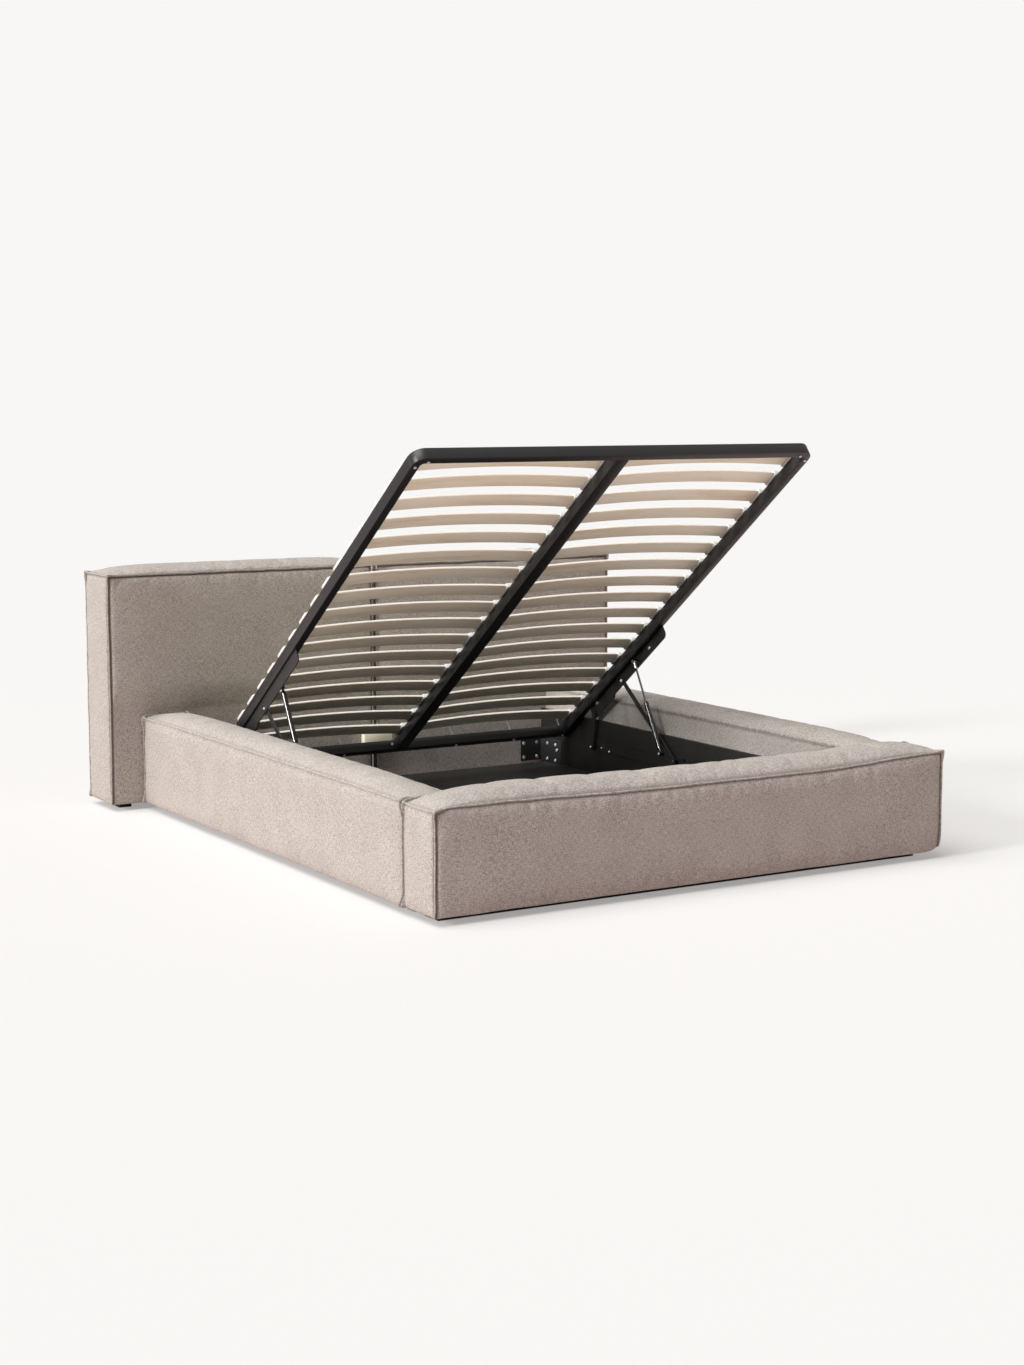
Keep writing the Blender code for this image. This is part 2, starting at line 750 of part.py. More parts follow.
def build_frame_brackets(axis):
    """The steel angle under each side tube that the links and the strut take hold of."""
    top = frame_local(0, -touch)[1]
    pin_y = frame_local(front_pivot_along, 0)[0]
    strut_y, strut_z = frame_local(strut_top_along, -strut_top_drop)
    heel = frame_local(rear_pivot_along, -rear_pivot_drop)
    heel_radius = bracket_heel_depth - rear_pivot_drop
    toe_y, toe_z = frame_local(bracket_top_along, -bracket_depth)
    step_y = frame_local(bracket_step_along, 0)[0]
    heel_z = frame_local(0, -bracket_heel_depth)[1]
    outline = [(heel[0] + heel_radius, top), (toe_y, top)]
    outline += arc((toe_y + bracket_round, toe_z + bracket_round), bracket_round, pi, pi * 3 / 2)
    outline += [(step_y - bracket_step_long, toe_z), (step_y, heel_z)]
    outline += arc(heel, heel_radius, -pi / 2, 0)
    head_start = link_inner - touch
    buried = (flange_outer + flange_inner) / 2
    for name, side in sides:
        shape = slab_shape(outline, side * flange_outer, side * flange_inner)
        piece = add_piece("frame_bracket_" + name, shape, steel, axis)
        shelf = sorted((side * flange_outer, side * (flange_outer - bracket_shelf_wide)))
        shape_with(piece, "UNION", box_shape(
            (shelf[0], toe_y + bracket_round, top - bracket_shelf), (shelf[1], heel[0], top)))
        shape_with(piece, "UNION", pin_shape(
            pin_radius, side * buried, side * (head_start - pin_head_thick / 2), pin_y))
        shape_with(piece, "UNION", pin_shape(
            pin_head_radius, side * head_start, side * (head_start - pin_head_thick), pin_y))
        shape_with(piece, "UNION", pin_shape(
            strut_stud_radius, side * buried, side * (strut_middle + strut_eye_half + touch),
            strut_y, strut_z))


def slat_stations():
    """Places across the frame with the half width, underside and top of a slat row at each."""
    base = tube_high + touch
    seat = base + holder_floor
    half = frame_width / 2 - touch
    holder = (holder_wide / 2, base, base + holder_high)
    stations = []
    for side in (-1, 1):
        ends = sorted((side * centre_holder_reach, side * (half - holder_reach)))
        slat = []
        steps = 6
        for step in range(steps + 1):
            share = step / steps
            lift = slat_bow * 4 * share * (1 - share)
            x = ends[0] + (ends[1] - ends[0]) * share
            slat.append((x, slat_wide / 2, seat + lift, seat + slat_thick + lift))
        outer = [(side * half, *holder), (side * (half - holder_reach), *holder)]
        inner = (side * centre_holder_reach, *holder)
        stations += outer + slat + [inner] if side < 0 else [inner] + slat + outer[::-1]
    return stations


def build_slats(axis):
    """Rows of two bowed slats, each row clipped over the side and centre tubes."""
    stations = slat_stations()
    for row in range(slat_rows):
        along = last_row_from_head + row * row_pitch
        bm = bmesh.new()
        rings = [
            [bm.verts.new((x, along + wide * way, height)) for way, height in (
                (-1, low), (1, low), (1, high), (-1, high))]
            for x, wide, low, high in stations
        ]
        for ring, following in zip(rings, rings[1:]):
            for corner in range(4):
                pair = (corner, (corner + 1) % 4)
                bm.faces.new([ring[pair[0]], ring[pair[1]], following[pair[1]], following[pair[0]]])
        bm.faces.new(rings[0])
        bm.faces.new(rings[-1])
        add_piece("slat_row_%02d" % (row + 1), place_in_frame(bm), birch, axis)


clear_scene()
build_headboard()
build_side_rails()
build_foot_rail()
build_box()
build_head_fittings()
build_lift_plates()
build_links()
build_struts()
frame_axis = build_frame()
build_frame_brackets(frame_axis)
build_slats(frame_axis)
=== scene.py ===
"""The looks of an upholstered storage bed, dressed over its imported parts. Its base stands lifted."""

import json
from math import pi, radians, sin, sqrt

import bmesh
import bpy
from mathutils import Matrix, Vector, noise


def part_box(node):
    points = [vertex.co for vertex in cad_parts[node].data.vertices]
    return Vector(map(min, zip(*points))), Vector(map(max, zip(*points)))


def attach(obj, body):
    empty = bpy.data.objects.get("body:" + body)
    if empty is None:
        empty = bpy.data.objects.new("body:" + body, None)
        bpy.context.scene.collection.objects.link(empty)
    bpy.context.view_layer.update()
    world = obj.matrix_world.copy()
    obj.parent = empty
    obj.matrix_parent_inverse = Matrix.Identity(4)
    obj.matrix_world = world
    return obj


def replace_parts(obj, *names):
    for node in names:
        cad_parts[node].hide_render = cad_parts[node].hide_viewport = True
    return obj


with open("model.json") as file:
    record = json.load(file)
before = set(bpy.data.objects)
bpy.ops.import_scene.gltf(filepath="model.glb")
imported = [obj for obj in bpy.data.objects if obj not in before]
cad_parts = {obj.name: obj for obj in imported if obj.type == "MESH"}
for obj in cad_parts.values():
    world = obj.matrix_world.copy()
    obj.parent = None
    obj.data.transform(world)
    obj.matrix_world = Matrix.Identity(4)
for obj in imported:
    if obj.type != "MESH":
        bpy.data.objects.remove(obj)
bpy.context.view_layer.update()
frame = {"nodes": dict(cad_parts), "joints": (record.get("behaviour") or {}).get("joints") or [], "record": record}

# The photograph's viewing angle: a little above the bed, in front of its foot and to its left.
# The long side of its frame falls on a 36 mm sensor.
focal_pixels = 2220.4
frame_pixels = 1365
camera = bpy.data.objects.new("camera", bpy.data.cameras.new("camera"))
camera.data.sensor_width = 36
camera.data.lens = focal_pixels / frame_pixels * camera.data.sensor_width
camera.location = (-4.1012, -6.8451, 1.5476)
camera.rotation_euler = (radians(82.7406), 0, radians(-31.1319))
bpy.context.scene.collection.objects.link(camera)
bpy.context.scene.camera = camera
bpy.context.scene.view_settings.view_transform = "Standard"


# Studio: a wide soft lamp high on the left, a harder one low on the left, and a white floor.
# The pale room gives little light of its own, but the camera sees it near white.
def linear(code):
    """An sRGB hex colour as linear red, green and blue."""
    shares = [int(code[place:place + 2], 16) / 255 for place in (1, 3, 5)]
    return tuple(c / 12.92 if c <= 0.04045 else ((c + 0.055) / 1.055) ** 2.4 for c in shares)


def add(tree, kind, inputs=None, **settings):
    """Add a node with its settings. Each input is a value or the socket that feeds it."""
    made = tree.nodes.new(kind)
    for name, value in settings.items():
        setattr(made, name, value)
    for name, value in (inputs or {}).items():
        if isinstance(value, bpy.types.NodeSocket):
            tree.links.new(value, made.inputs[name])
        else:
            made.inputs[name].default_value = value
    return made


room_white = (*linear("#F8F7F5"), 1)
room_strength = 0.205
room_in_gloss = 0.45
lamps = (
    ("high_lamp", 1.00, (-0.42, 0.02, 0.90), radians(52)),
    ("low_lamp", 0.71, (-0.93, -0.05, 0.37), radians(12)),
)

world = bpy.data.worlds.new("pale_room")
bpy.context.scene.world = world
world.use_nodes = True
tree = world.node_tree
tree.nodes.clear()
path = add(tree, "ShaderNodeLightPath")
gloss = add(tree, "ShaderNodeMath", {0: path.outputs["Is Glossy Ray"], 1: room_in_gloss},
            operation="MULTIPLY")
seen = add(tree, "ShaderNodeMath", {0: path.outputs["Is Camera Ray"], 1: gloss.outputs[0]},
           operation="MAXIMUM")
dim = add(tree, "ShaderNodeBackground", {"Color": (*linear("#FFF0EE"), 1), "Strength": room_strength})
bright = add(tree, "ShaderNodeBackground", {"Color": room_white, "Strength": 1})
mix = add(tree, "ShaderNodeMixShader", {0: seen.outputs[0], 1: dim.outputs[0], 2: bright.outputs[0]})
add(tree, "ShaderNodeOutputWorld", {"Surface": mix.outputs[0]})

for name, strength, way, softness in lamps:
    lamp = bpy.data.objects.new(name, bpy.data.lights.new(name, "SUN"))
    lamp.data.energy = strength * pi
    lamp.data.angle = softness
    lamp.rotation_euler = Vector(way).to_track_quat("Z", "Y").to_euler()
    bpy.context.scene.collection.objects.link(lamp)

# Near the bed the camera sees the floor with its shadows, painted lighter by a glow of its own. Further out it
# fades to the room's white.
floor_reach = 30.0
floor_near = 3.2
floor_far = 7.0
# The least glow paints the floor's shadows near the bed lighter.
floor_glow = 0.35
bm = bmesh.new()
bmesh.ops.create_grid(bm, x_segments=1, y_segments=1, size=floor_reach)
floor = bpy.data.objects.new("floor", bpy.data.meshes.new("floor"))
bm.to_mesh(floor.data)
bm.free()
bpy.context.scene.collection.objects.link(floor)
paint = bpy.data.materials.new("white_floor_paint")
paint.use_nodes = True
tree = paint.node_tree
tree.nodes.clear()
place = add(tree, "ShaderNodeTexCoord")
distance = add(tree, "ShaderNodeVectorMath", {0: place.outputs["Object"]}, operation="LENGTH")
fade = add(tree, "ShaderNodeMapRange", {
    "Value": distance.outputs["Value"], "From Min": floor_near, "From Max": floor_far,
    "To Min": floor_glow},
    interpolation_type="SMOOTHSTEP")
path = add(tree, "ShaderNodeLightPath")
share = add(tree, "ShaderNodeMath", {0: fade.outputs[0], 1: path.outputs["Is Camera Ray"]},
            operation="MULTIPLY")
hue = add(tree, "ShaderNodeMix", {
    0: path.outputs["Is Camera Ray"], 6: (*linear("#DFCECB"), 1), 7: (*linear("#DAD9D7"), 1)},
    data_type="RGBA")
matt = add(tree, "ShaderNodeBsdfDiffuse", {"Color": hue.outputs[2]})
glow = add(tree, "ShaderNodeEmission", {"Color": room_white, "Strength": 1})
mix = add(tree, "ShaderNodeMixShader", {0: share.outputs[0], 1: matt.outputs[0], 2: glow.outputs[0]})
add(tree, "ShaderNodeOutputMaterial", {"Surface": mix.outputs[0]})
floor.data.materials.append(paint)


# Upholstery: a taupe melange of polyester and wool in a plain weave, over wadding and foam.
# Each module is cut and sewn as a box with its seams turned outwards, so that a double edge
# stands along them, and it is stuffed tight. Its corners stick out as small ears.
cell = 0.013
long_face = 0.30
crown_long = 8
crown_short = 3
seam_power = 8
seam_play = 0.0025
seam_wander = 0.0025
wander_scale = 9
wander_apart = (11.3, 47.6, 83.9)
edge_thick = 0.0046
edge_high = 0.0105
joint_high = 0.017
ear_high = 0.008
ear_reach = 0.035
groove_deep = 0.006
swell_most = 0.004
crease = 0.0008
crease_scale = 5.5
underneath = 1 << 4
least_blend = 0.1
calm_least = 0.01
pressed_power = 4
swell_steps = 20


def woven_fabric():
    """Dull, slightly fuzzy cloth whose light and dark fibres are spun together.

    The real threads are 1.3 mm apart. They are drawn 2.1 mm apart, so that they show.
    """
    made = bpy.data.materials.new("taupe_melange_weave")
    made.use_nodes = True
    tree = made.node_tree
    shader = tree.nodes["Principled BSDF"]
    thread = 0.0021
    uv = add(tree, "ShaderNodeUVMap", uv_map="weave").outputs["UV"]
    threads = add(tree, "ShaderNodeVectorMath", {0: uv, 1: (1 / thread, 1 / thread, 0)},
                  operation="MULTIPLY")
    over = add(tree, "ShaderNodeTexChecker", {"Vector": threads.outputs[0], "Scale": 1.0}).outputs["Fac"]
    streaks = []
    for stretch in ((0.16, 1, 1), (1, 0.16, 1)):
        turned = add(tree, "ShaderNodeMapping", {"Vector": threads.outputs[0], "Scale": stretch})
        streaks.append(add(tree, "ShaderNodeTexNoise", {
            "Vector": turned.outputs[0], "Scale": 0.9, "Detail": 2.0, "Roughness": 0.6}).outputs["Fac"])
    yarn = add(tree, "ShaderNodeMix", {0: over, 2: streaks[0], 3: streaks[1]}).outputs[0]
    object_place = add(tree, "ShaderNodeTexCoord").outputs["Object"]
    flecks = add(tree, "ShaderNodeTexNoise", {
        "Vector": object_place, "Scale": 360.0, "Detail": 1.5, "Roughness": 0.7}).outputs["Fac"]
    clouds = add(tree, "ShaderNodeTexNoise", {
        "Vector": object_place, "Scale": 9.0, "Detail": 3.0, "Roughness": 0.5}).outputs["Fac"]
    melange = 0.0
    for part, weight in ((yarn, 0.6), (flecks, 0.55), (clouds, 0.07)):
        melange = add(tree, "ShaderNodeMath", {0: part, 1: weight, 2: melange},
                      operation="MULTIPLY_ADD").outputs[0]
    ramp = add(tree, "ShaderNodeValToRGB", {"Fac": melange})
    ramp.color_ramp.elements[0].position = 0.46
    ramp.color_ramp.elements[0].color = (*linear("#766F69"), 1)
    ramp.color_ramp.elements[1].position = 0.74
    ramp.color_ramp.elements[1].color = (*linear("#CBC6C0"), 1)
    middle = ramp.color_ramp.elements.new(0.6)
    middle.color = (*linear("#A9A29B"), 1)
    # Painted shade: the cloth darkens along the seams, most in their grooves, together with the darker line of the
    # stitching.
    seam_shade = add(tree, "ShaderNodeAttribute", attribute_name="seam_depth_and_shade").outputs["Fac"]
    seam_shade = add(tree, "ShaderNodeMath", {0: seam_shade, 1: 0.85}, operation="MULTIPLY").outputs[0]
    shaded = add(tree, "ShaderNodeMix", {
        0: seam_shade, 6: ramp.outputs["Color"], 7: (*linear("#40322C"), 1)}, data_type="RGBA")
    tree.links.new(shaded.outputs[2], shader.inputs["Base Color"])
    split = add(tree, "ShaderNodeSeparateXYZ", {0: threads.outputs[0]})
    waves = []
    for axis in ("X", "Y"):
        turn = add(tree, "ShaderNodeMath", {0: split.outputs[axis], 1: pi}, operation="MULTIPLY")
        wave = add(tree, "ShaderNodeMath", {0: turn.outputs[0]}, operation="SINE")
        waves.append(add(tree, "ShaderNodeMath", {0: wave.outputs[0]}, operation="ABSOLUTE").outputs[0])
    pebble = add(tree, "ShaderNodeMath", {0: waves[0], 1: waves[1]}, operation="MULTIPLY").outputs[0]
    relief = add(tree, "ShaderNodeMath", {0: flecks, 1: 1.4, 2: pebble},
                 operation="MULTIPLY_ADD").outputs[0]
    bump = add(tree, "ShaderNodeBump", {"Height": relief, "Strength": 0.5, "Distance": 0.0008})
    tree.links.new(bump.outputs[0], shader.inputs["Normal"])
    shader.inputs["Roughness"].default_value = 0.92
    shader.inputs["Specular IOR Level"].default_value = 0.25
    shader.inputs["Sheen Weight"].default_value = 0.13
    shader.inputs["Sheen Roughness"].default_value = 0.45
    shader.inputs["Sheen Tint"].default_value = (*linear("#E9DFD6"), 1)
    return made


def rise(value, start, length):
    """A smooth step from 0 at the start to 1 a length further on."""
    share = min(max((value - start) / length, 0), 1)
    return share * share * (3 - 2 * share)


def stuffed_box(low, high, crown_low, crown_high, lift_high, pressed, calm=None):
    """The sewn box in its cut shape: a fine grid with crowned panels and slightly wandering seams.

    Crowns are lengths for the low and high face of each axis, by which the panel bulges. Lifts
    are lengths for the high faces, by which their seams bulge between the corners. A pressed face
    lies on a neighbour, and only its seams stand back from it. The calm function gives the share
    of a panel's crown that is left at a place.
    """
    bm = bmesh.new()
    bmesh.ops.create_cube(bm, size=1)
    size = high - low
    for axis in range(3):
        across = [e for e in bm.edges if abs(e.verts[0].co[axis] - e.verts[1].co[axis]) > 0.9]
        bmesh.ops.subdivide_edges(bm, edges=across, cuts=round(size[axis] / cell) - 1, use_grid_fill=True)
    weave = bm.loops.layers.uv.new("weave")
    for face in bm.faces:
        spread = [abs(part) for part in face.normal]
        flat = [axis for axis in range(3) if axis != spread.index(max(spread))]
        for loop in face.loops:
            loop[weave].uv = [loop.vert.co[axis] * size[axis] for axis in flat]
    panels = bm.verts.layers.int.new("panels")
    held = bm.verts.layers.int.new("held")
    ear = bm.verts.layers.float.new("ear")
    powers = [crown_long if length > long_face else crown_short for length in size]
    for vert in bm.verts:
        share = vert.co * 2
        edges = [axis for axis in range(3) if abs(share[axis]) > 0.999]
        place = low + (vert.co + Vector((0.5, 0.5, 0.5))) * size
        shift = Vector()
        still = len(edges) > 1
        for axis in edges:
            side = 1 if share[axis] > 0 else -1
            vert[panels] |= 1 << (2 * axis + (side > 0))
            others = [other for other in range(3) if other != axis]
            bulge = 1
            for other in others:
                bulge *= 1 - abs(share[other]) ** powers[other]
            left = calm(axis, side, place) if calm else 1
            shift[axis] += side * (crown_high if side > 0 else crown_low)[axis] * left * bulge
            if (axis, side) in pressed:
                shift[axis] -= side * seam_play * sum(share[other] ** pressed_power for other in others)
            near, far = sorted(abs(share[other]) for other in others)
            lift = lift_high[axis] if side > 0 else 0
            shift[axis] += side * lift * far ** seam_power * (1 - near ** seam_power)
            if (axis, side) in pressed | {(2, -1)} or left < calm_least:
                still = True
            elif not still:
                shift[axis] += crease * bulge * noise.noise(place * crease_scale)
        if len(edges) > 1:
            ends = [(0.5 - abs(vert.co[axis])) * size[axis] for axis in range(3) if axis not in edges]
            vert[ear] = max(0, 1 - min(ends) / ear_reach) if ends else 1
            # Three plain noises, because noise_vector gives other values in every run.
            drift = [noise.noise(place * wander_scale + Vector.Fill(3, apart)) for apart in wander_apart]
            shift += Vector(drift) * seam_wander * (1 - vert[ear])
        vert.co = place + shift
        vert[held] = still
    return bm


def swell(bm, name):
    """Let the stuffing press the panels out between the sewn seams, with the cloth simulation."""
    held = bm.verts.layers.int["held"]
    start = [vert.co.copy() for vert in bm.verts]
    pins = [vert.index for vert in bm.verts if vert[held]]
    mesh = bpy.data.meshes.new(name)
    bm.to_mesh(mesh)
    piece = bpy.data.objects.new(name, mesh)
    bpy.context.scene.collection.objects.link(piece)
    pinned = piece.vertex_groups.new(name="pinned")
    pinned.add(pins, 1.0, "REPLACE")
    cloth = piece.modifiers.new("stuffing", "CLOTH")
    cloth.settings.vertex_group_mass = "pinned"
    cloth.settings.quality = 5
    cloth.settings.mass = 0.15
    cloth.settings.use_pressure = True
    cloth.settings.uniform_pressure_force = 4
    cloth.settings.tension_stiffness = 30
    cloth.settings.compression_stiffness = 30
    cloth.settings.bending_stiffness = 1.5
    cloth.settings.shrink_min = -0.012
    cloth.settings.effector_weights.gravity = 0
    cloth.collision_settings.use_collision = False
    cloth.point_cache.frame_start = 1
    cloth.point_cache.frame_end = swell_steps
    scene = bpy.context.scene
    for step in range(1, swell_steps + 1):
        scene.frame_set(step)
    shaped = piece.evaluated_get(bpy.context.evaluated_depsgraph_get()).data
    for vert, before, after in zip(bm.verts, start, shaped.vertices):
        moved = after.co - before
        if not vert[held] and moved.length > 0:
            vert.co = before + moved * (swell_most / max(moved.length, swell_most))
    bpy.data.objects.remove(piece)
    bpy.data.meshes.remove(mesh)
    scene.frame_set(1)


def seam_way(faces, pressed):
    """Which way a seam's edge is turned out: away from the module, but not into a neighbour."""
    way = Vector()
    for axis in range(3):
        for side in (-1, 1):
            if faces & 1 << (2 * axis + (side > 0)) and (axis, side) not in pressed | {(2, -1)}:
                way[axis] = side
    return way.normalized()


def raise_seams(bm, pressed, prominence):
    """Turn out the double edge of cloth along every seam but those underneath.

    The prominence gives the share of a full edge that a seam along an axis shows at a place. At
    the ears it is full. The cut blends a seam's values with the plain panel's, where they are
    zero, and the length left of the way out tells by how much.
    """
    panels = bm.verts.layers.int["panels"]
    ear = bm.verts.layers.float["ear"]
    way_out = bm.verts.layers.float_vector.new("way_out")
    shown = bm.verts.layers.float.new("shown")
    for vert in bm.verts:
        if vert[panels].bit_count() > 1:
            axes = [axis for axis in range(3) if not vert[panels] & 3 << (2 * axis)] or range(3)
            vert[way_out] = seam_way(vert[panels], pressed)
            vert[shown] = max(prominence(axis, vert.co) for axis in axes)
    seam_edges = []
    for edge in bm.edges:
        shared = edge.verts[0][panels] & edge.verts[1][panels]
        if shared.bit_count() == 2 and not shared & underneath and seam_way(shared, pressed).length:
            seam_edges.append(edge)
    cut = bmesh.ops.bevel(
        bm, geom=seam_edges, offset=edge_thick / sqrt(2), offset_type="OFFSET", segments=1,
        profile=0.5, affect="EDGES", material=-1, clamp_overlap=True,
    )
    # The seams' shares set how deep their grooves sink and how much shade the fabric paints along them.
    seam_depth_and_shade = bm.verts.layers.float.new("seam_depth_and_shade")
    for vert in {vert for face in cut["faces"] for vert in face.verts}:
        blend = max(vert[way_out].length, least_blend)
        vert[seam_depth_and_shade] = min(vert[shown] / blend, 1)
        vert[ear] = min(vert[ear] / blend, 1)
        vert[way_out] = vert[way_out].normalized()
        vert.co -= vert[way_out] * groove_deep * vert[seam_depth_and_shade]
    grown = bmesh.ops.extrude_face_region(bm, geom=cut["faces"])["geom"]
    for vert in [item for item in grown if isinstance(item, bmesh.types.BMVert)]:
        share = vert[seam_depth_and_shade] + (1 - vert[seam_depth_and_shade]) * vert[ear]
        vert[seam_depth_and_shade] = 0
        high = joint_high if max(abs(part) for part in vert[way_out]) > 0.9 else edge_high
        vert.co += vert[way_out] * (high * share + ear_high * vert[ear])


def upholster(name, node, low, high, crown_low, crown_high, lift_high, pressed, prominence,
              calm=None, tuck=None):
    """Sew, stuff and finish one module, and put it in place of its plain solid."""
    bm = stuffed_box(low, high, crown_low, crown_high, lift_high, pressed, calm)
    swell(bm, name + "_pattern")
    bm.normal_update()
    raise_seams(bm, pressed, prominence)
    if tuck:
        tuck(bm)
    bmesh.ops.recalc_face_normals(bm, faces=bm.faces)
    piece = bpy.data.objects.new(name, bpy.data.meshes.new(name))
    bm.to_mesh(piece.data)
    bm.free()
    piece.data.shade_smooth()
    bpy.context.scene.collection.objects.link(piece)
    rounding = piece.modifiers.new("rounding", "SUBSURF")
    rounding.levels = 1
    rounding.render_levels = 1
    piece.data.materials.append(fabric)
    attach(piece, "bed_base")
    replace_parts(piece, node)


fabric = woven_fabric()

# Headboard: two tall modules side by side. Behind the rails their fronts lie flat.
headboard_front = 0.012
headboard_back = 0.006
headboard_crown = 0.026
headboard_drop = 0.020
side_crown = 0.004
calm_fade = 0.10
narrow_seam = 0.6
rail_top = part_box("side_rail_right")[1].z


def behind_rails(axis, side, place):
    """A headboard's front is flat as far up as the rails press on it."""
    return rise(place.z, rail_top, calm_fade) if axis == 1 and side < 0 else 1


def headboard_seams(axis, place):
    """A headboard's seams stand out, and less so where they run along its narrow sides."""
    return narrow_seam if axis == 1 else 1


for name, side in (("left", -1), ("right", 1)):
    low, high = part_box("headboard_" + name)
    crown_low = [0, headboard_front, 0]
    crown_high = [0, headboard_back, headboard_crown]
    (crown_low if side < 0 else crown_high)[0] = side_crown
    upholster(
        "headboard_cushion_" + name, "headboard_" + name,
        low + Vector(crown_low), high - Vector((*crown_high[:2], headboard_drop)),
        crown_low, crown_high, [0, 0, 0], {(0, -side)}, headboard_seams, behind_rails,
    )

# Side rails: their ends press on the headboard and the foot rail, their inner faces on the boards.
rail_crown = 0.034
rail_drop = 0.026
rail_lift = 0.005
rail_head_seam = 0.65
rail_inner_seam = 0.6
rail_outer_seam = 0.3
jointed_seam = 0.2
rail_middle = (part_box("side_rail_right")[0].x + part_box("side_rail_right")[1].x) / 2


def rail_seams(axis, place):
    """A side rail's outer seam lies nearly flat. Its upright ones show at the head end only."""
    if axis == 2:
        return rail_head_seam if place.y > 0 else jointed_seam
    return rail_outer_seam if axis == 1 and abs(place.x) > rail_middle else rail_inner_seam


for name, side in (("left", -1), ("right", 1)):
    low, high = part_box("side_rail_" + name)
    crown_low = [side_crown if side < 0 else 0, 0, 0]
    crown_high = [side_crown if side > 0 else 0, 0, rail_crown]
    upholster(
        "side_rail_cushion_" + name, "side_rail_" + name,
        low + Vector(crown_low), high - Vector((*crown_high[:2], rail_drop)),
        crown_low, crown_high, [0, 0, rail_lift], {(0, -side), (1, -1), (1, 1)}, rail_seams,
    )

# Foot rail: one module across the whole width, with one lower corner worn round.
foot_crown = 0.040
foot_drop = 0.034
foot_front_crown = 0.008
foot_corner_tuck = 0.055
foot_upright_seam = 0.9
foot_long_seam = 0.6
foot_end_seam = 0.35
left_rise = 0.0115
left_rise_from = 0.10
left_rise_long = 0.75
right_rise = 0.020
right_rise_from = 0.45
right_rise_long = 0.50
left_dip = 0.012
left_dip_from = 0.93
left_dip_long = 0.06
foot_low, foot_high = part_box("foot_rail")
foot_middle = (foot_low.y + foot_high.y) / 2


def foot_seams(axis, place):
    """The foot rail's front seams show, and those at its ends and against the side rails less so."""
    if axis == 2:
        return foot_upright_seam if place.y < foot_middle else jointed_seam
    return foot_long_seam if axis == 0 else foot_end_seam


def shape_ends(bm):
    """Let the upper seams ride up towards the ends, and tuck the right-hand lower corner round."""
    for vert in bm.verts:
        x = vert.co.x
        up = min((vert.co.z - foot_low.z) / (foot_high.z - foot_drop - foot_low.z), 1)
        vert.co.z += up * left_rise * rise(-x, left_rise_from, left_rise_long)
        vert.co.z += up * right_rise * rise(x, right_rise_from, right_rise_long)
        vert.co.z -= up * left_dip * rise(-x, left_dip_from, left_dip_long)
        out = (x - (foot_high.x - foot_corner_tuck)) / foot_corner_tuck
        down = (foot_low.z + foot_corner_tuck - vert.co.z) / foot_corner_tuck
        if out > 0 and down > 0:
            reach = sqrt(out * out + down * down)
            if reach > 1:
                vert.co.x -= out * (1 - 1 / reach) * foot_corner_tuck
                vert.co.z += down * (1 - 1 / reach) * foot_corner_tuck


crown_low = [side_crown, foot_front_crown, 0]
crown_high = [side_crown, 0, foot_crown]
upholster(
    "foot_rail_cushion", "foot_rail",
    foot_low + Vector(crown_low), foot_high - Vector((*crown_high[:2], foot_drop)),
    crown_low, crown_high, [0, 0, 0], {(1, 1)}, foot_seams, tuck=shape_ends,
)

# Imported pieces that keep their shape, each given its finish. Eased copies take their body from the record.
# Sawn boards and steel sections get their edges eased, as a saw, a die or a paint coat leaves them.
body_of = {node: body for body, nodes in frame["record"]["behaviour"]["bodies"].items() for node in nodes}
merge_close = 0.00001


def surface(name, roughness, metallic=0.0):
    """A new material, with its node tree and its Principled shader."""
    made = bpy.data.materials.new(name)
    made.use_nodes = True
    shader = made.node_tree.nodes["Principled BSDF"]
    shader.inputs["Roughness"].default_value = roughness
    shader.inputs["Metallic"].default_value = metallic
    return made, made.node_tree, shader


def settle(name, bm, finish, body, smooth=35):
    """Make a finished bmesh a piece that rides on a body."""
    piece = bpy.data.objects.new(name, bpy.data.meshes.new(name))
    bm.to_mesh(piece.data)
    bm.free()
    piece.data.shade_smooth()
    piece.data.set_sharp_from_angle(angle=radians(smooth))
    piece.data.materials.append(finish)
    bpy.context.scene.collection.objects.link(piece)
    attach(piece, body)
    return piece


def ease(node, width, finish):
    """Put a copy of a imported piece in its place, smooth where it is round. A width eases its edges."""
    bm = bmesh.new()
    bm.from_mesh(frame["nodes"][node].data)
    bmesh.ops.remove_doubles(bm, verts=bm.verts, dist=merge_close)
    bmesh.ops.dissolve_limit(bm, angle_limit=radians(1), verts=bm.verts, edges=bm.edges)
    if width:
        sharp = [edge for edge in bm.edges if edge.calc_face_angle(0) > radians(30)]
        bmesh.ops.bevel(
            bm, geom=sharp, offset=width, offset_type="OFFSET", segments=2, profile=0.5,
            affect="EDGES", material=-1, clamp_overlap=True,
        )
    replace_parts(settle(node + "_eased", bm, finish, body_of[node]), node)


def keep(node, finish):
    """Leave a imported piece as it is, and give it its finish."""
    for place in frame["nodes"][node].material_slots:
        place.material = finish


